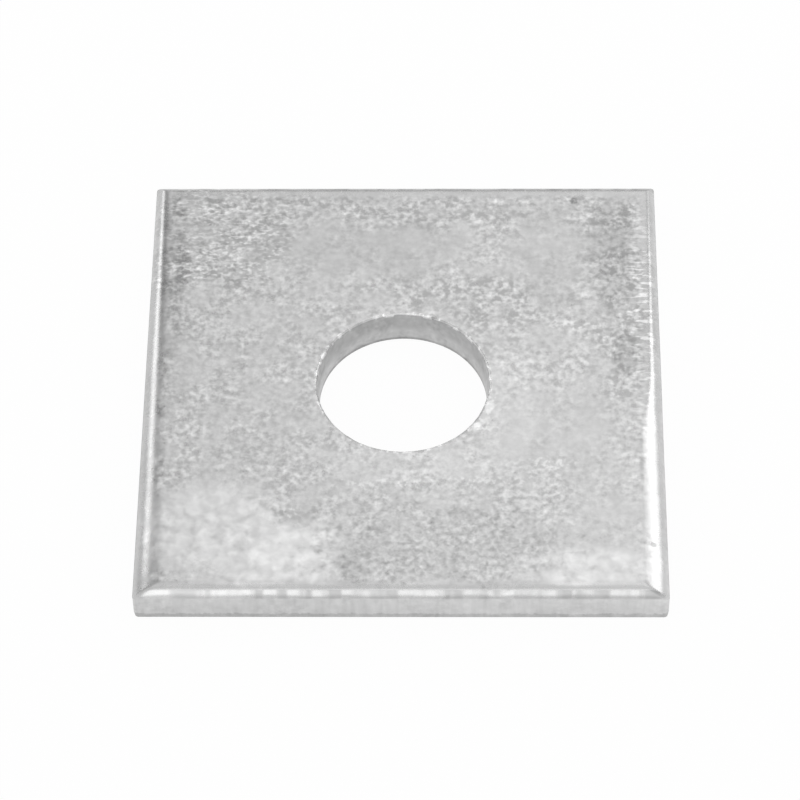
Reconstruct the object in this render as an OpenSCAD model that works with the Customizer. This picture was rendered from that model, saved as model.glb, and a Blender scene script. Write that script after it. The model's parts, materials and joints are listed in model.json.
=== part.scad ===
// Square steel plate with one punched hole, lying flat.
// The origin is on the axis of the hole, at the underside, and +Z leaves the top face.
// The blank is struck from above and the hole from below, so the outline rolls over at
// the top edge and tears at the bottom, and the wall of the hole does the opposite.

/* [Plate] */
// Side of the square, across its sheared faces
plate_w = 40; // [25:1:100]
// Thickness between the top face and the underside
plate_t = 3; // [2:0.5:8]
// Plan radius of the four upright corners
corner_r = 0.3; // [0.3:0.1:5]

/* [Sheared outline] */
// How far in from the side the top face begins to roll over
edge_roll_reach = 1.8; // [0.8:0.1:3]
// How far down the side the roll-over ends and the smooth land begins
edge_roll_drop = 0.55; // [0.2:0.05:0.8]
// Height of the torn band below the smooth land
edge_tear_h = 0.5; // [0.2:0.1:1.4]
// How far the torn band leans in at the underside
edge_tear_in = 0.06; // [0.05:0.01:0.25]

/* [Punched hole] */
// Diameter of the smooth land, a clearance hole for a 12 mm bolt
hole_d = 13; // [6:0.5:20]
// How far out from the wall the underside begins to roll into the hole
hole_roll_reach = 0.3; // [0.2:0.05:0.8]
// How far up the wall that roll-over ends and the smooth land begins
hole_roll_drop = 0.1; // [0.1:0.05:0.2]
// Height of the smooth land
hole_land_h = 1.2; // [0.5:0.1:1.6]
// How much the torn part of the wall opens out, in radius, at the top face
hole_breakout = 0.12; // [0.05:0.01:0.3]

/* [Hidden] */
$fn = 96;
// From the axis of the hole to a sheared face
half_w = plate_w / 2;
// Radius of the smooth land in the hole
hole_r = hole_d / 2;
// How far a cutting or crossing shape runs past the faces that it meets
overrun = 1;

// Radius of the arc that leaves a face tangentially and falls by drop over reach
function roll_radius(reach, drop) = (reach * reach + drop * drop) / (2 * drop);

// What a roll-over takes off a square edge that has its arris at the origin.
// Below the drop the arc has left the side, so nothing more is cut there.
module roll_waste(reach, drop) {
    arc_r = roll_radius(reach, drop);
    translate([-reach, -arc_r])
        difference() {
            square([reach + overrun, arc_r + overrun]);
            circle(r = arc_r);
        }
}

// Section through the blank, square to one pair of its sides
module blank_section() {
    difference() {
        polygon([
            [half_w - edge_tear_in, 0],
            [half_w, edge_tear_h],
            [half_w, plate_t],
            [-half_w, plate_t],
            [-half_w, edge_tear_h],
            [edge_tear_in - half_w, 0]
        ]);
        for (side = [0, 1])
            mirror([side, 0])
                translate([half_w, plate_t])
                    roll_waste(edge_roll_reach, edge_roll_drop);
    }
}

// The section carried from front to back, past both ends of the blank
module section_run() {
    rotate([90, 0, 0])
        linear_extrude(height = plate_w + 2 * overrun, center = true)
            blank_section();
}

// Upright cross that leaves out the square of each corner radius
module corner_clearance_cross() {
    inner_w = plate_w - 2 * corner_r;
    translate([0, 0, -overrun])
        linear_extrude(height = plate_t + 2 * overrun)
            union() {
                square([plate_w, inner_w], center = true);
                square([inner_w, plate_w], center = true);
            }
}

// The outer end of the section, turned round one upright corner
module turned_corner() {
    translate([half_w - corner_r, half_w - corner_r, 0])
        rotate_extrude(angle = 90)
            intersection() {
                translate([corner_r - half_w, 0])
                    blank_section();
                square([corner_r, plate_t]);
            }
}

// Square blank: two crossing runs of the section, mitred where they meet, and its corners
module blank() {
    intersection() {
        section_run();
        rotate(90)
            section_run();
        corner_clearance_cross();
    }
    for (quarter = [0:3])
        rotate(90 * quarter)
            turned_corner();
}

// Everything that the punch takes out: roll-over, smooth land, then the torn, wider wall
module punched_hole() {
    land_top = hole_roll_drop + hole_land_h;
    tear_slope = hole_breakout / (plate_t - land_top);
    rotate_extrude()
        union() {
            polygon([
                [0, -overrun],
                [hole_r, -overrun],
                [hole_r, land_top],
                [hole_r + hole_breakout + tear_slope * overrun, plate_t + overrun],
                [0, plate_t + overrun]
            ]);
            translate([hole_r, 0])
                rotate(180)
                    roll_waste(hole_roll_reach, hole_roll_drop);
        }
}

module square_plate() {
    color("silver")
        difference() {
            blank();
            punched_hole();
        }
}

square_plate();
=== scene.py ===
"""Looks of the square steel plate: zinc coat, rolled and sheared edges, punched hole, studio light.

The plate lies on a pale floor as it was photographed. Sizes are in metres, written as
millimetres times MM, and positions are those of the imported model.
"""

import json
import logging
import math
from dataclasses import dataclass, field, fields
from enum import Enum
from functools import reduce
from typing import Any, Iterable, Iterator, Mapping

import bpy
import numpy as np
from mathutils import Matrix, Vector, noise


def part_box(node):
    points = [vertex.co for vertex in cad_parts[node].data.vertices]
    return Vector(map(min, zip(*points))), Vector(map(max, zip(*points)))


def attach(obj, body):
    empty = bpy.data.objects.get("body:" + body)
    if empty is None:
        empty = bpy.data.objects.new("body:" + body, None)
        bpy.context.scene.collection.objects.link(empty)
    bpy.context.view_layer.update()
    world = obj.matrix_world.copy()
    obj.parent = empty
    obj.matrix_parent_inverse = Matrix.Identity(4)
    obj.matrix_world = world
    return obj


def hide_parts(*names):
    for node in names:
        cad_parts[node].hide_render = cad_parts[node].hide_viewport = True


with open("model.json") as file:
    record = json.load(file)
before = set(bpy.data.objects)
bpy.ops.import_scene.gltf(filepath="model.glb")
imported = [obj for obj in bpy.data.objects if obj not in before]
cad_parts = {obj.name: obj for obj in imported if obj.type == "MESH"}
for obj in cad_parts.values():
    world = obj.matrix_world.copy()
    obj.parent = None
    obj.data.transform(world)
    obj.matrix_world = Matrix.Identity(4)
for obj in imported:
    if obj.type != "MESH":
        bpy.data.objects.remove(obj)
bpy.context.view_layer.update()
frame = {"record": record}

MM = 0.001
NODE = "square_plate"
BODY = "root"
BORE = "bolt_hole"

# Two values of which a smooth step leaves 0 at the first and reaches 1 at the second
Band = tuple[float, float]

# A patch is full within the second of these squared reaches and gone beyond the first
PATCH_EDGE: Band = (1.7, 0.3)
# Added to the squared reach of a patch with a plain outline
PLAIN_OUTLINE = 0.7

# Numbers of the Mix node's sockets for colours, which share their names with others
MIX_FIRST_COLOUR = 6
MIX_SECOND_COLOUR = 7
MIX_COLOUR = 2

log = logging.getLogger("square_plate")


class Axis(Enum):
    """Outputs of a Separate XYZ node."""

    X = "X"
    Y = "Y"
    Z = "Z"


class Value:
    """A shader socket that carries a number, with arithmetic that adds Math nodes."""

    def __init__(self, graph: "Graph", socket: bpy.types.NodeSocket) -> None:
        """Keep the socket and the graph that it belongs to."""
        self.graph = graph
        self.socket = socket

    def _math(self, operation: str, *values: "Value | float") -> "Value":
        """Add a Math node.

        Args:
            operation: name of the Math node's operation.
            values: its operands, in order.

        Returns:
            The node's result.
        """
        node = self.graph.node("ShaderNodeMath", {"operation": operation}, dict(enumerate(values)))
        return Value(self.graph, node.outputs[0])

    def __add__(self, other: "Value | float") -> "Value":
        """Sum."""
        return self._math("ADD", self, other)

    def __radd__(self, other: float) -> "Value":
        """Sum with a plain number first."""
        return self._math("ADD", other, self)

    def __sub__(self, other: "Value | float") -> "Value":
        """Difference."""
        return self._math("SUBTRACT", self, other)

    def __rsub__(self, other: float) -> "Value":
        """Difference with a plain number first."""
        return self._math("SUBTRACT", other, self)

    def __mul__(self, other: "Value | float") -> "Value":
        """Product."""
        return self._math("MULTIPLY", self, other)

    def __rmul__(self, other: float) -> "Value":
        """Product with a plain number first."""
        return self._math("MULTIPLY", other, self)

    def __abs__(self) -> "Value":
        """Size without sign."""
        return self._math("ABSOLUTE", self)

    def larger(self, other: "Value | float") -> "Value":
        """The larger of two values."""
        return self._math("MAXIMUM", self, other)

    def root(self) -> "Value":
        """Square root."""
        return self._math("SQRT", self)

    def step(self, low: float, high: float) -> "Value":
        """Smooth step.

        Args:
            low: value at which the result leaves 0.
            high: value at which the result reaches 1; below low it falls instead of rising.

        Returns:
            A value from 0 to 1.
        """
        start, end, first, last = (low, high, 0.0, 1.0) if low < high else (high, low, 1.0, 0.0)
        node = self.graph.node(
            "ShaderNodeMapRange",
            {"interpolation_type": "SMOOTHSTEP"},
            {"Value": self, "From Min": start, "From Max": end, "To Min": first, "To Max": last},
        )
        return Value(self.graph, node.outputs["Result"])

    def past(self, edge: float, band: Band) -> "Value":
        """Smooth step over a band that is measured from an edge.

        Args:
            edge: value at the edge.
            band: distances from the edge at which the result leaves 0 and reaches 1.

        Returns:
            A value from 0 to 1.
        """
        return self.step(edge + band[0], edge + band[1])


class Graph:
    """A node tree that is built from Python expressions."""

    def __init__(self, tree: bpy.types.NodeTree) -> None:
        """Empty the tree and keep it."""
        self.tree = tree
        self.tree.nodes.clear()

    def node(
        self, kind: str, settings: Mapping[str, Any], inputs: Mapping[str | int, Any]
    ) -> bpy.types.Node:
        """Add one node.

        Args:
            kind: Blender's name of the node type.
            settings: attributes of the node, set before its sockets.
            inputs: values or links, by socket name or number.

        Returns:
            The new node.
        """
        node = self.tree.nodes.new(kind)
        for name, value in settings.items():
            setattr(node, name, value)
        for key, value in inputs.items():
            source = value.socket if isinstance(value, Value) else value
            if isinstance(source, bpy.types.NodeSocket):
                self.tree.links.new(source, node.inputs[key])
            else:
                node.inputs[key].default_value = source
        return node

    def position(self) -> bpy.types.NodeSocket:
        """Position in the part's own frame, in millimetres.

        Returns:
            A vector socket.
        """
        place = self.node("ShaderNodeTexCoord", {}, {})
        scaled = self.node(
            "ShaderNodeVectorMath",
            {"operation": "SCALE"},
            {0: place.outputs["Object"], "Scale": 1 / MM},
        )
        return scaled.outputs["Vector"]

    def axis(self, vector: bpy.types.NodeSocket, axis: Axis) -> Value:
        """One coordinate of a vector."""
        return Value(self, self.node("ShaderNodeSeparateXYZ", {}, {0: vector}).outputs[axis.value])

    def noise(
        self,
        vector: bpy.types.NodeSocket,
        grain: float,
        detail: float = 2.0,
        roughness: float = 0.5,
        distortion: float = 0.0,
    ) -> Value:
        """Cloudy noise.

        Args:
            vector: position in millimetres.
            grain: width of its largest grains in millimetres.
            detail: number of finer layers.
            roughness: how strong the finer layers are.
            distortion: how far the pattern is bent on itself.

        Returns:
            A value about 0.5.
        """
        node = self.node(
            "ShaderNodeTexNoise",
            {"noise_dimensions": "3D"},
            {
                "Vector": vector,
                "Scale": 1 / grain,
                "Detail": detail,
                "Roughness": roughness,
                "Distortion": distortion,
            },
        )
        return Value(self, node.outputs[0])

    def stretched(
        self, vector: bpy.types.NodeSocket, factors: tuple[float, float, float]
    ) -> bpy.types.NodeSocket:
        """A vector with each axis multiplied by its own factor."""
        node = self.node("ShaderNodeVectorMath", {"operation": "MULTIPLY"}, {0: vector, 1: factors})
        return node.outputs["Vector"]

    def grey_mix(self, factor: Value, low: float, high: float) -> bpy.types.NodeSocket:
        """A neutral colour between two greys.

        Args:
            factor: 0 for the first grey, 1 for the second.
            low: first grey, as linear light.
            high: second grey.

        Returns:
            A colour socket.
        """
        node = self.node(
            "ShaderNodeMix",
            {"data_type": "RGBA", "clamp_factor": False},
            {
                "Factor": factor,
                MIX_FIRST_COLOUR: (low, low, low, 1.0),
                MIX_SECOND_COLOUR: (high, high, high, 1.0),
            },
        )
        return node.outputs[MIX_COLOUR]


@dataclass(frozen=True)
class Patch:
    """A soft-edged oval area of the top face, in millimetres from the axis of the hole."""

    x: float
    y: float
    reach_x: float
    reach_y: float

    def mask(self, spot: "Spot", ragged: Value | float = PLAIN_OUTLINE) -> Value:
        """Where the patch lies.

        Args:
            spot: the point of the surface.
            ragged: noise about zero that frays the outline, or a number that shrinks it.

        Returns:
            1 inside the patch and 0 outside.
        """
        across = (spot.x - self.x) * (1 / self.reach_x)
        along = (spot.y - self.y) * (1 / self.reach_y)
        return (across * across + along * along + ragged).step(*PATCH_EDGE)


def any_of(
    patches: Iterable[Patch], spot: "Spot", ragged: Value | float = PLAIN_OUTLINE
) -> Value:
    """Where at least one of several patches lies.

    Args:
        patches: the patches.
        spot: the point of the surface.
        ragged: noise about zero that frays their outlines, or a number that shrinks them.

    Returns:
        1 inside and 0 outside.
    """
    masks = [patch.mask(spot, ragged) for patch in patches]
    return reduce(Value.larger, masks)


@dataclass
class Spot:
    """A point of the surface in the part's own frame, in millimetres."""

    vector: bpy.types.NodeSocket
    x: Value
    y: Value
    z: Value

    @classmethod
    def of(cls, graph: Graph) -> "Spot":
        """The point that is being shaded."""
        vector = graph.position()
        return cls(vector, *(graph.axis(vector, axis) for axis in Axis))


class Stretch(Enum):
    """How a noise is drawn out: factors on the position along X, Y and Z."""

    EVEN = (1.0, 1.0, 1.0)
    STREAKED = (0.6, 1.0, 1.0)
    ACROSS = (0.35, 1.0, 1.0)
    BARS = (1.0, 0.12, 0.12)
    UPRIGHT = (1.0, 1.0, 0.12)


@dataclass(frozen=True)
class Grain:
    """One noise of the coat, with the width of its largest grains in millimetres."""

    width: float
    detail: float = 2.0
    roughness: float = 0.5
    distortion: float = 0.0
    stretch: Stretch = Stretch.EVEN
    band: Band | None = None

    def at(self, graph: Graph, spot: Spot) -> Value:
        """The noise at a point.

        Args:
            graph: the graph of the material.
            spot: the point of the surface.

        Returns:
            A value from 0 to 1 if the noise has a band, else one about zero.
        """
        place = graph.stretched(spot.vector, self.stretch.value)
        value = graph.noise(place, self.width, self.detail, self.roughness, self.distortion)
        return value - 0.5 if self.band is None else value.step(*self.band)


@dataclass(frozen=True)
class Grains:
    """The noises that the coat is made of."""

    grain: Grain = Grain(0.44, roughness=0.55)
    fine: Grain = Grain(0.42, detail=1.0, distortion=0.5)
    dapple: Grain = Grain(0.75, detail=1.0, distortion=0.6)
    blotch: Grain = Grain(1.5)
    cloud: Grain = Grain(4.0, detail=3.0, roughness=0.6)
    drag: Grain = Grain(0.3, detail=3.0, stretch=Stretch.UPRIGHT)
    blobs: Grain = Grain(0.95, detail=1.0, distortion=0.4)
    sandy: Grain = Grain(2.6, band=(0.38, 0.60))
    clusters: Grain = Grain(1.5, stretch=Stretch.STREAKED, band=(0.36, 0.60))
    specks: Grain = Grain(0.30, detail=3.0, stretch=Stretch.STREAKED, band=(0.46, 0.64))
    # Where painted glints lie on the lip round the hole
    painted_rim_glints: Grain = Grain(0.6, band=(0.54, 0.62))
    scales: Grain = Grain(
        0.38, detail=1.0, distortion=0.3, stretch=Stretch.ACROSS, band=(0.52, 0.64)
    )
    dashes: Grain = Grain(1.0, detail=1.0, stretch=Stretch.BARS, band=(0.34, 0.62))


@dataclass
class Mottle:
    """The coat's noises at a point: the first seven are about zero, the others from 0 to 1."""

    grain: Value
    fine: Value
    dapple: Value
    blotch: Value
    cloud: Value
    drag: Value
    blobs: Value
    sandy: Value
    clusters: Value
    specks: Value
    painted_rim_glints: Value
    scales: Value
    dashes: Value


@dataclass(frozen=True)
class Bands:
    """Where kinds of surface begin and are full, in millimetres from the edge that they follow."""

    top_from_land: Band = (-0.1, 0.1)
    roll_from_side: Band = (-1.6, -0.9)
    end_roll_from_end: Band = (-0.62, -0.50)
    # The brow bands place a painted shade: a darker band just behind the front roll-over's
    # highlight
    brow_from_end: Band = (-1.5, -1.1)
    brow_to_end: Band = (-0.8, -1.0)
    brow_to_side: Band = (-1.2, -2.2)
    face_from_side: Band = (-0.6, -0.4)
    face_shade_from_floor: Band = (2.2, 0.5)
    tear_from_floor: Band = (0.62, 0.42)
    wall_to_rim: Band = (0.5, 0.4)
    wall_to_top: Band = (-0.07, -0.15)
    wall_from_floor: Band = (0.008, 0.03)
    wall_foot_from_floor: Band = (0.42, 0.30)
    wall_tear_from_floor: Band = (1.25, 1.75)
    lip_to_rim: Band = (0.35, 0.22)
    lip_from_top: Band = (-0.25, -0.17)
    back_from_middle: Band = (6.0, 10.0)
    left_from_middle: Band = (-10.0, -16.0)


@dataclass(frozen=True)
class Fraying:
    """How strongly each noise frays the outline of a zone."""

    cloud_on_areas: float = 2.5
    blotch_on_areas: float = 1.5
    dapple_on_marks: float = 3.0
    fine_on_glints: float = 3.5
    share_on_soft: float = 0.5
    grain_on_tear: float = 0.5
    grain_on_wall_tear: float = 0.9
    drag_on_wall_tear: float = 0.6


@dataclass(frozen=True)
class Areas:
    """Places on the top face where the coat differs, or where shade and glints are painted."""

    rough: tuple[Patch, ...] = (
        Patch(4.0, 18.5, 17.0, 2.6),
        Patch(17.0, 9.5, 3.4, 10.0),
        Patch(5.5, 8.2, 5.5, 2.4),
    )
    frosted: tuple[Patch, ...] = (Patch(-14.6, 14.6, 5.6, 5.8),)
    smooth: tuple[Patch, ...] = (
        Patch(-3.5, 13.2, 8.5, 2.8),
        Patch(11.5, 12.0, 3.5, 4.0),
        Patch(15.5, -13.6, 3.6, 3.0),
        Patch(12.0, -5.0, 5.0, 3.0),
    )
    blistered: tuple[Patch, ...] = (
        Patch(-14.0, -13.6, 5.5, 3.6),
        Patch(-11.0, -16.0, 7.5, 3.0),
        Patch(14.5, -17.4, 5.5, 1.6),
    )
    dull: tuple[Patch, ...] = (Patch(3.5, -15.2, 9.6, 3.4),)
    scaly: tuple[Patch, ...] = (Patch(18.6, 6.5, 1.5, 14.5),)
    rubbed: tuple[Patch, ...] = (
        Patch(7.8, -2.4, 2.6, 5.0),
        Patch(1.0, -7.7, 7.0, 2.0),
        Patch(-8.2, -16.0, 3.2, 2.6),
    )
    # Painted shade: darker patches along the left roll-over and at the back right
    painted_shade: tuple[Patch, ...] = (
        Patch(-18.1, 11.0, 1.0, 9.0),
        Patch(16.5, 13.5, 1.7, 6.0),
        Patch(17.2, 2.5, 0.9, 2.6),
    )
    # Brighter scuffs; the last two, at the right of the hole's rim, are painted glints
    scuffs_and_glints: tuple[Patch, ...] = (
        Patch(-2.0, -9.8, 3.2, 0.45),
        Patch(6.7, -9.5, 3.0, 0.4),
        Patch(11.4, -7.7, 1.6, 0.7),
        Patch(-8.4, -12.5, 0.9, 0.5),
        Patch(12.9, 5.6, 1.8, 0.5),
        Patch(6.8, -1.7, 0.5, 0.9),
        Patch(5.7, -4.2, 0.9, 0.6),
    )
    stained: tuple[Patch, ...] = (Patch(-4.2, -16.4, 1.7, 2.2), Patch(-8.0, -12.9, 1.6, 0.8))
    # Painted highlights: two small bright glints on the top face at the right of the hole
    painted_glints: tuple[Patch, ...] = (Patch(6.7, -2.4, 0.35, 0.6), Patch(5.5, -4.3, 0.6, 0.35))
    # Two small dark spots, darker in colour only
    dark_spots: tuple[Patch, ...] = (Patch(18.9, -15.3, 0.22, 0.2), Patch(13.5, 18.3, 0.32, 0.3))


@dataclass
class Zones:
    """Where each kind of surface lies on the plate, from 0 to 1, and where light or shade is
    painted.
    """

    top: Value
    roll: Value
    end_roll: Value
    painted_highlight_left: Value
    brow_painted_shade: Value
    lip: Value
    face: Value
    face_painted_shade: Value
    face_tear: Value
    wall: Value
    wall_tear: Value
    wall_foot_painted_shade: Value
    rough: Value
    frosted: Value
    smooth: Value
    smooth_back: Value
    dull: Value
    blistered: Value
    scaly: Value
    scuffs_and_glints: Value
    stained: Value
    dark_spots: Value
    painted_glints: Value
    rubbed: Value
    painted_shade: Value


@dataclass(frozen=True)
class Tones:
    """How much each noise or zone lightens the coat, where a minus darkens it."""

    middle: float = 0.5
    darkest: float = 0.27
    whole: float = -0.02
    # Painted light: the coat grows lighter towards the right
    painted_light_per_mm_right: float = 0.002
    grain: float = 1.35
    grain_on_rough: float = 0.5
    dapple: float = 0.5
    dapple_on_rough: float = 0.3
    dapple_on_frost: float = 0.3
    blotch: float = 0.3
    blotch_on_frost: float = 0.4
    cloud: float = 0.2
    veins: float = 0.08
    rough: float = -0.08
    smooth_back: float = -0.06
    specks: float = 0.50
    speck_clusters: float = 0.7
    lone_specks: float = 0.3
    frosted: float = -0.13
    blobs: float = 0.90
    blistered: float = 0.21
    rubbed: float = 0.10
    fine_on_dull: float = 0.8
    dull: float = -0.09
    stained: float = -0.14
    scales: float = 0.70
    scaly: float = -0.08
    # Painted shade on the left roll-over and the back right
    painted_shade: float = -0.18
    scuffs_and_glints: float = 0.17
    dark_spots: float = -0.35
    # Painted glints by the hole
    painted_glints: float = 0.30
    dashes: float = 0.22
    # On the front roll the coat is darker and broken into dashes, and a painted highlight makes it
    # lighter at the left end and darker towards the right
    end_roll: float = -0.262
    painted_highlight_per_mm_right: float = -0.003
    painted_highlight_left: float = 0.13
    # Painted shade: the darker band just behind the front highlight
    brow_painted_shade: float = -0.20
    # Painted highlights: glints on the lip round the hole
    painted_rim_glints: float = 0.5
    lip: float = -0.05
    # Painted shade low on the side faces
    face_painted_shade: float = -0.06
    face_tear: float = -0.20
    # The hole's wall is darker, partly as torn metal and partly as painted shade inside the hole
    wall: float = -0.20
    wall_tear: float = -0.08
    # Painted shade at the foot of the hole's wall
    wall_foot_painted_shade: float = -0.24
    drag: float = 0.25
    drag_share_in_wall: float = 0.4


@dataclass(frozen=True)
class Stillness:
    """How much each zone calms the grain."""

    least_grain: float = 0.1
    face: float = 0.75
    roll: float = 0.85
    smooth: float = 0.55
    blistered: float = 0.75
    wall: float = 0.6
    dull: float = 0.3
    between_sandy: float = 0.5
    sandy: float = 0.7


@dataclass(frozen=True)
class Dullness:
    """The coat's roughness, and how much each noise or zone adds to it."""

    whole: float = 0.33
    grain: float = 0.25
    blotch: float = 0.1
    roll: float = -0.06
    lip: float = -0.08
    end_roll: float = 0.05
    dashes: float = -0.10
    wall: float = 0.05
    torn: float = 0.1


@dataclass(frozen=True)
class Relief:
    """Heights of the coat's grain in metres, and how much each zone changes them."""

    grain: float = 0.016 * MM
    grain_on_rough: float = 0.4
    blotch: float = 0.020 * MM
    blotch_on_blisters: float = 0.2
    blotch_on_roll: float = -0.7


@dataclass(frozen=True)
class ZincCoat:
    """Dull zinc on sheared steel: mottled faces, bright rolled edges, darker torn metal, with
    painted shade and painted highlights in a few places.
    """

    low_grey: float = 0.34
    high_grey: float = 0.90
    metallic: float = 0.85
    vein_band: Band = (0.035, 0.01)
    scuff_band: Band = (0.0, 0.12)
    # How patchy the painted shade behind the front roll is
    brow_least: float = 0.6
    brow_gain: float = 0.6
    grains: Grains = Grains()
    bands: Bands = Bands()
    fraying: Fraying = Fraying()
    areas: Areas = Areas()
    tones: Tones = Tones()
    stillness: Stillness = Stillness()
    dullness: Dullness = Dullness()
    relief: Relief = Relief()

    def mottle(self, graph: Graph, spot: Spot) -> Mottle:
        """Make the coat's noises.

        Args:
            graph: the graph of the material.
            spot: the point of the surface.

        Returns:
            The noises.
        """
        names = [item.name for item in fields(Grains)]
        return Mottle(**{name: getattr(self.grains, name).at(graph, spot) for name in names})

    def zones(self, spot: Spot, mottle: Mottle, plate: "PunchedPlate") -> Zones:
        """Find the kinds of surface.

        Args:
            spot: the point of the surface.
            mottle: the coat's noises, which fray the zones.
            plate: sizes that the zones follow.

        Returns:
            The zones.
        """
        bands = self.bands
        fray = self.fraying
        areas = self.areas
        half = plate.half / MM
        rim = plate.rim_r / MM
        thick = plate.thickness / MM
        ragged = mottle.cloud * fray.cloud_on_areas + mottle.blotch * fray.blotch_on_areas
        frayed = mottle.dapple * fray.dapple_on_marks + mottle.blotch * fray.blotch_on_areas
        softened = ragged * fray.share_on_soft
        top = spot.z.past(plate.land_top / MM, bands.top_from_land)
        ahead = 0 - spot.y
        across = abs(spot.x)
        along = abs(spot.y)
        outer = across.larger(along)
        radius = (spot.x * spot.x + spot.y * spot.y).root()
        end_roll = along.past(half, bands.end_roll_from_end) * top
        # Painted shade: a darker band along the front, just behind the roll-over's highlight
        brow_painted_shade = ahead.past(half, bands.brow_from_end) * ahead.past(half, bands.brow_to_end)
        patchy = mottle.sandy * self.brow_gain + self.brow_least
        lip = radius.past(rim, bands.lip_to_rim) * spot.z.past(thick, bands.lip_from_top)
        face = (1 - top) * outer.past(half, bands.face_from_side)
        torn = spot.z + mottle.grain * fray.grain_on_tear
        wall = radius.past(rim, bands.wall_to_rim) * spot.z.past(thick, bands.wall_to_top)
        wall = wall * spot.z.past(0.0, bands.wall_from_floor)
        wall_torn = spot.z + mottle.grain * fray.grain_on_wall_tear
        wall_torn = wall_torn + mottle.drag * fray.drag_on_wall_tear
        smooth = any_of(areas.smooth, spot, ragged) * top
        return Zones(
            top=top,
            roll=outer.past(half, bands.roll_from_side) * top,
            end_roll=end_roll,
            # Painted highlight: the left end of the front roll
            painted_highlight_left=end_roll * spot.x.past(0.0, bands.left_from_middle),
            brow_painted_shade=brow_painted_shade * across.past(half, bands.brow_to_side) * patchy * top,
            lip=lip,
            face=face,
            # Painted shade: the side faces darken towards the floor
            face_painted_shade=face * spot.z.past(0.0, bands.face_shade_from_floor),
            face_tear=face * torn.past(0.0, bands.tear_from_floor),
            wall=wall,
            wall_tear=wall * wall_torn.past(0.0, bands.wall_tear_from_floor),
            # Painted shade: a dark line at the foot of the hole's wall, where it meets the floor
            wall_foot_painted_shade=wall * spot.z.past(0.0, bands.wall_foot_from_floor),
            rough=any_of(areas.rough, spot, ragged) * top,
            frosted=any_of(areas.frosted, spot, ragged) * top,
            smooth=smooth,
            smooth_back=smooth * spot.y.past(0.0, bands.back_from_middle),
            dull=any_of(areas.dull, spot, frayed) * top,
            blistered=any_of(areas.blistered, spot, ragged) * top,
            scaly=any_of(areas.scaly, spot) * top,
            scuffs_and_glints=any_of(areas.scuffs_and_glints, spot, frayed) * top,
            stained=any_of(areas.stained, spot, frayed) * top,
            dark_spots=any_of(areas.dark_spots, spot, mottle.grain) * top,
            painted_glints=any_of(areas.painted_glints, spot, mottle.fine * fray.fine_on_glints) * top,
            rubbed=any_of(areas.rubbed, spot, softened) * top,
            painted_shade=any_of(areas.painted_shade, spot, softened) * top,
        )

    def grain_strength(self, zones: Zones, mottle: Mottle) -> Value:
        """How strong the grain is: weaker on smooth, rolled and sheared metal."""
        still = self.stillness
        calmed = zones.face * still.face + zones.roll * still.roll + zones.smooth * still.smooth
        calmed = calmed + zones.blistered * still.blistered + zones.wall * still.wall
        sandy = mottle.sandy * still.sandy + still.between_sandy
        return (1 - calmed).larger(still.least_grain) * sandy * (1 - zones.dull * still.dull)

    def tone(self, spot: Spot, zones: Zones, mottle: Mottle) -> Value:
        """How light the coat is.

        Args:
            spot: the point of the surface.
            zones: the kinds of surface.
            mottle: the coat's noises.

        Returns:
            0 for the darker grey, 1 for the lighter one.
        """
        tones = self.tones
        strength = self.grain_strength(zones, mottle)
        grain = zones.rough * tones.grain_on_rough + tones.grain
        dapple = zones.rough * tones.dapple_on_rough + zones.frosted * tones.dapple_on_frost
        blotch = (zones.frosted * tones.blotch_on_frost + tones.blotch) * (1 - zones.roll)
        tone = mottle.grain * strength * grain + mottle.dapple * strength * (dapple + tones.dapple)
        tone = tone + mottle.blotch * blotch + mottle.cloud * tones.cloud + tones.middle
        # Painted light: lighter towards the right
        tone = tone.larger(tones.darkest) + spot.x * tones.painted_light_per_mm_right + tones.whole
        veins = abs(mottle.dapple).step(*self.vein_band)
        specks = mottle.specks * (mottle.clusters * tones.speck_clusters + tones.lone_specks)
        dashes = mottle.dashes * tones.dashes + spot.x * tones.painted_highlight_per_mm_right
        patterned = (
            (zones.rough, veins * tones.veins, tones.rough),
            (zones.frosted, specks * tones.specks, tones.frosted),
            (zones.blistered, mottle.blobs * tones.blobs, tones.blistered),
            (zones.dull, mottle.fine * tones.fine_on_dull, tones.dull),
            (zones.scaly, mottle.scales * tones.scales, tones.scaly),
            (zones.end_roll, dashes, tones.end_roll),
            # The lip round the hole gets painted glints
            (zones.lip, mottle.painted_rim_glints * tones.painted_rim_glints, tones.lip),
        )
        for zone, pattern, level in patterned:
            tone = tone + zone * (pattern + level)
        plain = (
            (zones.smooth_back, tones.smooth_back),
            (zones.rubbed, tones.rubbed),
            (zones.stained, tones.stained),
            (zones.painted_shade, tones.painted_shade),
            (zones.scuffs_and_glints * mottle.grain.step(*self.scuff_band), tones.scuffs_and_glints),
            (zones.dark_spots, tones.dark_spots),
            (zones.painted_glints, tones.painted_glints),
            (zones.painted_highlight_left, tones.painted_highlight_left),
            # Painted shade behind the front highlight
            (zones.brow_painted_shade, tones.brow_painted_shade),
            (zones.face_painted_shade, tones.face_painted_shade),
            (zones.face_tear, tones.face_tear),
            # The hole's wall: torn metal and painted shade
            (zones.wall, tones.wall),
            (zones.wall_tear, tones.wall_tear),
            (zones.wall_foot_painted_shade, tones.wall_foot_painted_shade),
            ((zones.face + zones.wall * tones.drag_share_in_wall) * mottle.drag, tones.drag),
        )
        for zone, level in plain:
            tone = tone + zone * level
        return tone

    def roughness(self, zones: Zones, mottle: Mottle) -> Value:
        """How rough the coat is.

        Args:
            zones: the kinds of surface.
            mottle: the coat's noises.

        Returns:
            Values for the shader's roughness.
        """
        dull = self.dullness
        level = mottle.grain * self.grain_strength(zones, mottle) * dull.grain
        level = level + mottle.blotch * dull.blotch + dull.whole
        level = level + zones.end_roll * (mottle.dashes * dull.dashes + dull.end_roll)
        level = level + zones.roll * dull.roll + zones.lip * dull.lip + zones.wall * dull.wall
        return level + (zones.wall_tear + zones.face_tear) * dull.torn

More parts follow.
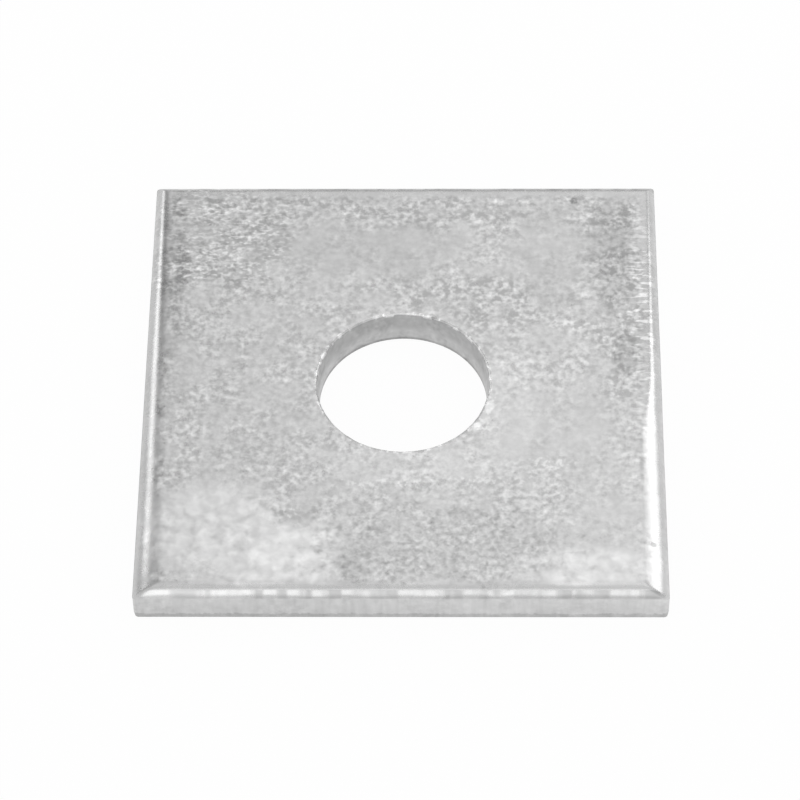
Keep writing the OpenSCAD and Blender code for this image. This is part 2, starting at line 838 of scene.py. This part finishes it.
    def height(self, zones: Zones, mottle: Mottle) -> Value:
        """How far the coat stands proud, in metres.

        Args:
            zones: the kinds of surface.
            mottle: the coat's noises.

        Returns:
            Heights for the Bump node.
        """
        relief = self.relief
        grain = mottle.grain * relief.grain * self.grain_strength(zones, mottle)
        waves = zones.blistered * relief.blotch_on_blisters + zones.roll * relief.blotch_on_roll + 1
        waves = mottle.blotch * relief.blotch * waves
        return grain * (zones.rough * relief.grain_on_rough + 1) + waves * (1 - zones.face)

    def dress(self, plate: "PunchedPlate", piece: bpy.types.Object) -> None:
        """Give the plate its coat.

        Args:
            plate: sizes that the zones of the finish follow.
            piece: object that takes the material.
        """
        material = bpy.data.materials.new("zinc_coat")
        material.use_nodes = True
        graph = Graph(material.node_tree)
        spot = Spot.of(graph)
        mottle = self.mottle(graph, spot)
        zones = self.zones(spot, mottle, plate)
        tone = self.tone(spot, zones, mottle)
        bump = graph.node(
            "ShaderNodeBump",
            {},
            {"Strength": 1.0, "Distance": 1.0, "Height": self.height(zones, mottle)},
        )
        shader = graph.node(
            "ShaderNodeBsdfPrincipled",
            {},
            {
                "Base Color": graph.grey_mix(tone, self.low_grey, self.high_grey),
                "Metallic": self.metallic,
                "Roughness": self.roughness(zones, mottle),
                "Normal": bump.outputs["Normal"],
            },
        )
        graph.node("ShaderNodeOutputMaterial", {}, {"Surface": shader.outputs[0]})
        piece.data.materials.append(material)


@dataclass(frozen=True)
class Unevenness:
    """How the roll-over differs round the plate.

    Reaches and drops are shares of the even ones, and powers shape the curve of the fall. Ahead
    and behind are towards the front and the back of the left and right sides.
    """

    widest_reach: float = 1.45
    left_reach: float = 1.0
    right_reach: float = 0.74
    front_reach: float = 0.85
    back_reach: float = 0.55
    left_reach_ahead: float = 0.42
    right_reach_ahead: float = 0.08
    reach_behind: float = -0.18
    bevel_reach: float = 0.26
    side_power: float = 2.6
    front_power: float = 2.8
    back_power: float = 4.0
    bevel_power: float = 1.35
    power_behind: float = 0.9
    left_bevel_share: float = 0.32
    left_extra_drop: float = 0.25
    bevel_extra_drop: float = 0.45
    lip_share: float = 0.25
    lip_power: float = 8.0
    bevel_start: float = 0.5 * MM
    bevel_end: float = -4.5 * MM
    corner_blend: float = 5.0
    slow_waves_per_mm: float = 0.45
    quick_waves_per_mm: float = 1.5
    edges_apart: float = 9.0
    end_power_wander: float = 0.3
    side_power_wander: float = 0.1
    end_drop_wander: float = 0.04
    end_drop_quiver: float = 0.02
    side_drop_wander: float = 0.03


@dataclass(frozen=True)
class Wave:
    """Shallow waves in which a surface wanders inwards, in metres."""

    depth: float
    size: float
    shift: float
    squeeze: float = 1.0

    def depths(self, grid: np.ndarray) -> np.ndarray:
        """How deep the waves are.

        Args:
            grid: rings by columns by 3.

        Returns:
            Depths as rings by columns.
        """
        places = grid.reshape(-1, 3) / self.size * (1.0, 1.0, self.squeeze) + (self.shift, 0, 0)
        values = np.array([noise.noise(Vector(place)) for place in places])
        return self.depth * np.clip(0.5 + 0.5 * values, 0, 1).reshape(grid.shape[:2])


@dataclass(frozen=True)
class Wear:
    """How sheared and dipped steel wanders inwards, which is least where the plate rests."""

    broad: Wave = Wave(0.010 * MM, 2.6 * MM, shift=3.0)
    small: Wave = Wave(0.005 * MM, 0.8 * MM, shift=7.0)
    rolled: Wave = Wave(0.008 * MM, 1.1 * MM, shift=11.0)
    wall: Wave = Wave(0.014 * MM, 0.35 * MM, shift=29.0, squeeze=0.12)
    torn: Wave = Wave(0.04 * MM, 0.45 * MM, shift=23.0)
    roll_fade: float = 0.5 * MM
    seat_height: float = 0.02 * MM
    seat_share: float = 0.3


@dataclass
class PunchedPlate:
    """The square plate, as one closed sheet of rings that runs round its section."""

    side: float
    thickness: float
    hole_r: float
    corner_r: float = 0.3 * MM
    edge_roll_reach: float = 1.8 * MM
    edge_roll_drop: float = 0.55 * MM
    edge_tear_h: float = 0.5 * MM
    edge_tear_in: float = 0.06 * MM
    hole_roll_reach: float = 0.3 * MM
    hole_roll_drop: float = 0.10 * MM
    hole_land_h: float = 1.2 * MM
    hole_breakout: float = 0.12 * MM
    rim_round: float = 0.20 * MM
    columns_per_side: int = 152
    columns_per_corner: int = 8
    top_rows: int = 54
    roll_rows: int = 22
    under_rows: int = 10
    hole_roll_rows: int = 5
    torn_rows: int = 12
    side_shares: tuple[float, ...] = (0.02, 0.06, 0.2, 0.35, 0.5, 0.65, 0.8, 0.92, 1.0)
    foot_shares: tuple[float, ...] = (0.2, 0.4, 0.6, 0.8, 0.9)
    land_shares: tuple[float, ...] = (0.04, 0.2, 0.4, 0.6, 0.8, 1.0)
    rim_turns: tuple[float, ...] = (15, 30, 45, 60, 75)
    uneven: Unevenness = Unevenness()
    wear: Wear = Wear()
    finish: ZincCoat = field(default_factory=ZincCoat)

    @property
    def half(self) -> float:
        """From the axis of the hole to a sheared side."""
        return self.side / 2

    @property
    def flat_half(self) -> float:
        """From the axis of the hole to where the top face starts to roll over at its widest."""
        return self.half - self.edge_roll_reach * self.uneven.widest_reach

    @property
    def land_top(self) -> float:
        """Height at which the roll-over ends and the smooth land begins."""
        return self.thickness - self.edge_roll_drop

    @property
    def rim_r(self) -> float:
        """Radius of the torn wall at the top face."""
        return self.hole_r + self.hole_breakout

    def outline(self, half: float) -> np.ndarray:
        """Plan of the rounded square, one point a column, counter-clockwise.

        Args:
            half: half of the side.

        Returns:
            Points as columns by 2.
        """
        inner = half - self.corner_r
        along = np.linspace(-inner, inner, self.columns_per_side, endpoint=False)
        turn = np.linspace(0, math.pi / 2, self.columns_per_corner, endpoint=False)
        run = np.stack([np.full_like(along, half), along], axis=1)
        arc = inner + self.corner_r * np.stack([np.cos(turn), np.sin(turn)], axis=1)
        quarter = np.concatenate([run, arc])
        turned = []
        for _ in range(4):
            turned.append(quarter)
            quarter = np.stack([-quarter[:, 1], quarter[:, 0]], axis=1)
        return np.concatenate(turned)

    def side_fall(self, plan: np.ndarray, across: int) -> np.ndarray:
        """How far one pair of rolled edges lies below the top face.

        The left and right edges widen towards the front, where the right one is nearly a bevel.
        The back edge is narrower and rounder than the front one.

        Args:
            plan: points as columns by 2.
            across: 0 for the left and right edges, 1 for the back and front ones.

        Returns:
            One fall for each point.
        """
        uneven = self.uneven
        along = plan[:, 1 - across]
        towards = np.sign(plan[:, across])
        low_side = towards < 0
        apart = uneven.edges_apart
        places = [Vector((place / MM, apart * side, across)) for place, side in zip(along, towards)]
        slow = np.array([noise.noise(place * uneven.slow_waves_per_mm) for place in places])
        quick = np.array([noise.noise(place * uneven.quick_waves_per_mm) for place in places])
        bevel = (along - uneven.bevel_start) / (uneven.bevel_end - uneven.bevel_start)
        bevel = np.clip(bevel, 0, 1) * (towards > 0) * (1 - across)
        ahead = np.clip(-along / self.half, 0, 1)
        behind = np.clip(along / self.half, 0, 1)
        left = ahead * low_side * (1 - across)
        if across:
            wide = np.where(low_side, uneven.front_reach, uneven.back_reach)
            power = np.where(low_side, uneven.front_power, uneven.back_power)
            power = power + uneven.end_power_wander * slow
            deep = 1 + uneven.end_drop_wander * slow + uneven.end_drop_quiver * quick
        else:
            wide_left = uneven.left_reach + uneven.left_reach_ahead * ahead
            wide_right = uneven.right_reach + uneven.right_reach_ahead * ahead
            wide = np.where(low_side, wide_left, wide_right + uneven.bevel_reach * bevel)
            wide = wide + uneven.reach_behind * behind
            bevelled = bevel + uneven.left_bevel_share * left
            power = uneven.side_power + uneven.power_behind * behind
            power = power + uneven.side_power_wander * slow
            power = power + (uneven.bevel_power - uneven.side_power) * bevelled
            deep = 1 + uneven.side_drop_wander * slow
            deep = deep + uneven.bevel_extra_drop * bevel + uneven.left_extra_drop * left
        reach = self.edge_roll_reach * wide
        past = np.maximum(np.abs(plan[:, across]) - (self.half - reach), 0.0) / reach
        lip = uneven.lip_share * (bevel + left)
        fall = (1 - lip) * past**power + lip * past**uneven.lip_power
        return self.edge_roll_drop * deep * fall

    def roll_fall(self, plan: np.ndarray) -> np.ndarray:
        """How far the rolled edges lie below the top face, eased together at the corners.

        Args:
            plan: points as columns by 2.

        Returns:
            One fall for each point.
        """
        falls = np.stack([self.side_fall(plan, 0), self.side_fall(plan, 1)], axis=1)
        blend = self.uneven.corner_blend
        return (falls**blend).sum(axis=1) ** (1 / blend)

    def rings(self) -> Iterator[np.ndarray]:
        """Rings of the section: top face, rolled edge, side, underside and wall of the hole.

        Yields:
            Points as columns by 3.
        """

        def ring(plan: np.ndarray, height: np.ndarray | float) -> np.ndarray:
            """Plan points with their height."""
            return np.column_stack([plan, np.broadcast_to(height, len(plan))])

        flat = self.outline(self.flat_half)
        edge = self.outline(self.half)
        foot = self.outline(self.half - self.edge_tear_in)
        ray = flat / np.linalg.norm(flat, axis=1, keepdims=True)
        mouth = ray * (self.rim_r + self.rim_round)
        for share in np.linspace(0, 1, self.top_rows, endpoint=False):
            yield ring(mouth + (flat - mouth) * share, self.thickness)
        for share in np.linspace(0, 1, self.roll_rows):
            plan = flat + (edge - flat) * share
            yield ring(plan, self.thickness - self.roll_fall(plan))
        arris = self.thickness - self.roll_fall(edge)
        for share in self.side_shares:
            yield ring(edge, arris + (self.edge_tear_h - arris) * share)
        for share in self.foot_shares:
            yield ring(edge + (foot - edge) * share, self.edge_tear_h * (1 - share))
        well = ray * (self.hole_r + self.hole_roll_reach)
        for share in np.linspace(0, 1, self.under_rows, endpoint=False):
            yield ring(foot + (well - foot) * share, 0.0)
        reach = self.hole_roll_reach
        drop = self.hole_roll_drop
        arc_r = (reach**2 + drop**2) / (2 * drop)
        for inward in np.linspace(0, reach, self.hole_roll_rows):
            yield ring(well - ray * inward, arc_r - math.sqrt(arc_r**2 - inward**2))
        land = ray * self.hole_r
        land_end = drop + self.hole_land_h
        for share in self.land_shares:
            yield ring(land, drop + self.hole_land_h * share)
        torn = self.thickness - self.rim_round - land_end
        slope = self.hole_breakout / (self.thickness - land_end)
        for share in np.linspace(0, 1, self.torn_rows + 1)[1:]:
            yield ring(land + ray * slope * torn * share, land_end + torn * share)
        lip = self.hole_r + slope * torn
        for turn in np.radians(self.rim_turns):
            out = (self.rim_r + self.rim_round - lip) * (1 - math.cos(turn))
            up = self.rim_round * math.sin(turn)
            yield ring(ray * (lip + out), self.thickness - self.rim_round + up)

    def worn(self, grid: np.ndarray) -> np.ndarray:
        """Let the surface wander inwards, as sheared and hot-dipped steel does.

        Args:
            grid: rings by columns by 3.

        Returns:
            The same grid, moved.
        """
        along = np.roll(grid, -1, axis=0) - np.roll(grid, 1, axis=0)
        around = np.roll(grid, -1, axis=1) - np.roll(grid, 1, axis=1)
        normal = np.cross(along, around)
        normal /= np.linalg.norm(normal, axis=2, keepdims=True)
        wear = self.wear
        height = grid[..., 2]
        past = np.abs(grid[..., :2]).max(axis=2) - (self.half - self.edge_roll_reach)
        rolled = np.clip(past / (self.edge_roll_reach / 2), 0, 1)
        rolled *= np.clip((height - self.edge_tear_h) / wear.roll_fade, 0, 1)
        wall = np.linalg.norm(grid[..., :2], axis=2) < self.rim_r + self.rim_round / 2
        torn = wall * (height > self.hole_roll_drop + self.hole_land_h)
        inward = wear.broad.depths(grid) + wear.small.depths(grid)
        inward += rolled * wear.rolled.depths(grid)
        inward += wall * wear.wall.depths(grid)
        inward += torn * wear.torn.depths(grid)
        inward *= np.where(height < wear.seat_height, wear.seat_share, 1.0)
        return grid - normal * inward[..., None]

    def build(self) -> bpy.types.Object:
        """Make the plate's mesh.

        Returns:
            The new object, linked to the scene.
        """
        grid = self.worn(np.stack(list(self.rings())))
        rows, columns, _ = grid.shape
        index = np.arange(rows * columns).reshape(rows, columns)
        outward = np.roll(index, -1, axis=0)
        corners = [index, outward, np.roll(outward, -1, axis=1), np.roll(index, -1, axis=1)]
        faces = np.stack(corners, axis=-1).reshape(-1, 4)
        mesh = bpy.data.meshes.new("dressed_plate")
        mesh.from_pydata(grid.reshape(-1, 3).tolist(), [], faces.tolist())
        mesh.polygons.foreach_set("use_smooth", np.ones(len(faces), dtype=bool))
        mesh.update()
        piece = bpy.data.objects.new("dressed_plate", mesh)
        bpy.context.scene.collection.objects.link(piece)
        return piece

    def dress(self) -> bpy.types.Object:
        """Build the plate, coat it and let it stand for the solid.

        Returns:
            The dressed piece.
        """
        piece = self.build()
        self.finish.dress(self, piece)
        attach(piece, BODY)
        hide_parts(NODE)
        log.info("%s: %d faces", piece.name, len(piece.data.polygons))
        return piece


@dataclass
class Lamp:
    """A soft rectangular lamp that looks at the plate.

    Its azimuth is in degrees, from the back towards the right, and its radiance is what a
    mirror would show of it, where 1 is white.
    """

    name: str
    azimuth: float
    elevation: float
    distance: float
    width: float
    height: float
    radiance: float

    def build(self) -> bpy.types.Object:
        """Hang the lamp.

        Returns:
            The lamp's object.
        """
        light = bpy.data.lights.new(self.name, "AREA")
        light.shape = "RECTANGLE"
        light.size = self.width
        light.size_y = self.height
        light.energy = self.radiance * math.pi * self.width * self.height
        lamp = bpy.data.objects.new(self.name, light)
        azimuth, elevation = math.radians(self.azimuth), math.radians(self.elevation)
        towards = Vector(
            (
                math.sin(azimuth) * math.cos(elevation),
                math.cos(azimuth) * math.cos(elevation),
                math.sin(elevation),
            )
        )
        lamp.location = towards * self.distance
        lamp.rotation_euler = towards.to_track_quat("Z", "Y").to_euler()
        lamp.visible_camera = False
        bpy.context.scene.collection.objects.link(lamp)
        return lamp


@dataclass
class Studio:
    """Pale floor, even sky and soft lamps."""

    floor_half: float = 3.0
    floor_gap: float = 0.02 * MM
    floor_grey: float = 0.9
    floor_glow_share: float = 0.96
    horizon_level: float = 0.92
    zenith_level: float = 0.76
    wall_level: float = 0.34
    nook_level: float = 0.24
    door_level: float = 0.60
    back_band: Band = (0.25, 0.45)
    back_ceiling_band: Band = (0.28, 0.60)
    front_ceiling_band: Band = (0.5, 0.85)
    wall_top_band: Band = (0.94, 0.84)
    nook_band: Band = (-0.10, -0.25)
    door_band: Band = (0.20, 0.35)
    lamps: tuple[Lamp, ...] = (
        Lamp(
            "back_panel",
            azimuth=4.0,
            elevation=58.0,
            distance=0.5,
            width=0.25,
            height=0.38,
            radiance=0.71,
        ),
        Lamp(
            "front_panel",
            azimuth=180.0,
            elevation=62.0,
            distance=0.5,
            width=0.26,
            height=0.26,
            radiance=0.88,
        ),
        Lamp(
            "right_panel",
            azimuth=53.2,
            elevation=37.9,
            distance=0.130,
            width=0.045,
            height=0.036,
            radiance=1.9,
        ),
        Lamp(
            "left_strip",
            azimuth=-46.5,
            elevation=31.0,
            distance=0.150,
            width=0.036,
            height=0.034,
            radiance=2.1,
        ),
        Lamp(
            "left_front",
            azimuth=-58.8,
            elevation=40.6,
            distance=0.103,
            width=0.014,
            height=0.022,
            radiance=1.4,
        ),
    )

    def build(self) -> None:
        """Lay the floor, light the sky and hang the lamps."""
        self.floor()
        self.sky()
        for lamp in self.lamps:
            lamp.build()
            log.info("lamp %s", lamp.name)

    def seen(self, graph: Graph) -> Value:
        """1 for rays of the camera and for reflections, so that steel shows the pale floor too.

        Args:
            graph: the graph that the value belongs to.

        Returns:
            A value of 0 or 1.
        """
        path = graph.node("ShaderNodeLightPath", {}, {})
        camera = Value(graph, path.outputs["Is Camera Ray"])
        glossy = Value(graph, path.outputs["Is Glossy Ray"])
        through = Value(graph, path.outputs["Is Transmission Ray"])
        return camera.larger(glossy).larger(through)

    def floor(self) -> None:
        """A wide sheet that renders white and keeps a faint shadow."""
        reach = self.floor_half
        corners = [(-reach, -reach), (reach, -reach), (reach, reach), (-reach, reach)]
        mesh = bpy.data.meshes.new("floor")
        mesh.from_pydata([(x, y, -self.floor_gap) for x, y in corners], [], [(0, 1, 2, 3)])
        sheet = bpy.data.objects.new("floor", mesh)
        bpy.context.scene.collection.objects.link(sheet)
        material = bpy.data.materials.new("pale_floor")
        material.use_nodes = True
        graph = Graph(material.node_tree)
        grey = self.floor_grey
        matt = graph.node("ShaderNodeBsdfDiffuse", {}, {"Color": (grey, grey, grey, 1.0)})
        glow = graph.node("ShaderNodeEmission", {}, {"Strength": 1.0})
        mixed = graph.node(
            "ShaderNodeMixShader",
            {},
            {0: self.seen(graph) * self.floor_glow_share, 1: matt.outputs[0], 2: glow.outputs[0]},
        )
        graph.node("ShaderNodeOutputMaterial", {}, {"Surface": mixed.outputs[0]})
        mesh.materials.append(material)

    def sky(self) -> None:
        """Pale horizon and ceiling, with a darker wall at the back.

        The wall is darkest in a nook on its left and paler at a door on its right.
        """
        world = bpy.data.worlds.new("sky")
        world.use_nodes = True
        graph = Graph(world.node_tree)
        direction = graph.node("ShaderNodeTexCoord", {}, {}).outputs["Generated"]
        across = graph.axis(direction, Axis.X)
        behind = graph.axis(direction, Axis.Y).step(*self.back_band)
        height = graph.axis(direction, Axis.Z)
        raised = behind * height.step(*self.back_ceiling_band)
        raised = raised + (1 - behind) * height.step(*self.front_ceiling_band)
        walled = behind * height.step(*self.wall_top_band)
        nook = across.step(*self.nook_band) * (self.nook_level - self.wall_level)
        door = across.step(*self.door_band) * (self.door_level - self.wall_level)
        ceiling = self.zenith_level + walled * (self.wall_level - self.zenith_level)
        ceiling = ceiling + walled * nook + walled * door
        level = self.horizon_level + raised * (ceiling - self.horizon_level)
        light = graph.node("ShaderNodeBackground", {}, {"Color": graph.grey_mix(level, 0.0, 1.0)})
        graph.node("ShaderNodeOutputWorld", {}, {"Surface": light.outputs[0]})
        bpy.context.scene.world = world


@dataclass
class Viewpoint:
    """The camera, at the angle from which the plate was photographed.

    Its azimuth is in degrees, from the front towards the right.
    """

    azimuth: float = 1.43
    elevation: float = 52.53
    roll: float = -1.13
    distance: float = 302.2 * MM
    lens: float = 175.5
    sensor: float = 36.0
    target: tuple[float, float, float] = (-0.24 * MM, -0.64 * MM, 1.5 * MM)

    def build(self) -> bpy.types.Object:
        """Set up the camera.

        Returns:
            The camera's object.
        """
        azimuth, elevation, roll = map(math.radians, (self.azimuth, self.elevation, self.roll))
        back = Vector(
            (
                math.sin(azimuth) * math.cos(elevation),
                -math.cos(azimuth) * math.cos(elevation),
                math.sin(elevation),
            )
        )
        level = Vector((math.cos(azimuth), math.sin(azimuth), 0.0))
        upright = back.cross(level)
        right = level * math.cos(roll) + upright * math.sin(roll)
        up = upright * math.cos(roll) - level * math.sin(roll)
        place = Vector(self.target) + back * self.distance
        lens = bpy.data.cameras.new("camera")
        lens.lens = self.lens
        lens.sensor_width = self.sensor
        lens.clip_start = 10 * MM
        camera = bpy.data.objects.new("camera", lens)
        turn = Matrix((right, up, back)).transposed()
        camera.matrix_world = Matrix.Translation(place) @ turn.to_4x4()
        bpy.context.scene.collection.objects.link(camera)
        bpy.context.scene.camera = camera
        return camera


def plate_from_frame() -> PunchedPlate:
    """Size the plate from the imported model.

    Returns:
        The plate, not yet built.
    """
    low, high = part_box(NODE)
    bore = next(mount for mount in frame["record"]["mounts"] if mount["name"] == BORE)
    return PunchedPlate(
        side=high[0] - low[0],
        thickness=high[2] - low[2],
        hole_r=bore["dims"]["r_mm"] * MM,
    )


def main() -> None:
    """Build the plate, the studio and the camera."""
    logging.basicConfig(level=logging.INFO, format="%(name)s: %(message)s")
    bpy.context.scene.view_settings.view_transform = "Standard"
    Viewpoint().build()
    Studio().build()
    plate_from_frame().dress()


if __name__ == "__main__":
    main()
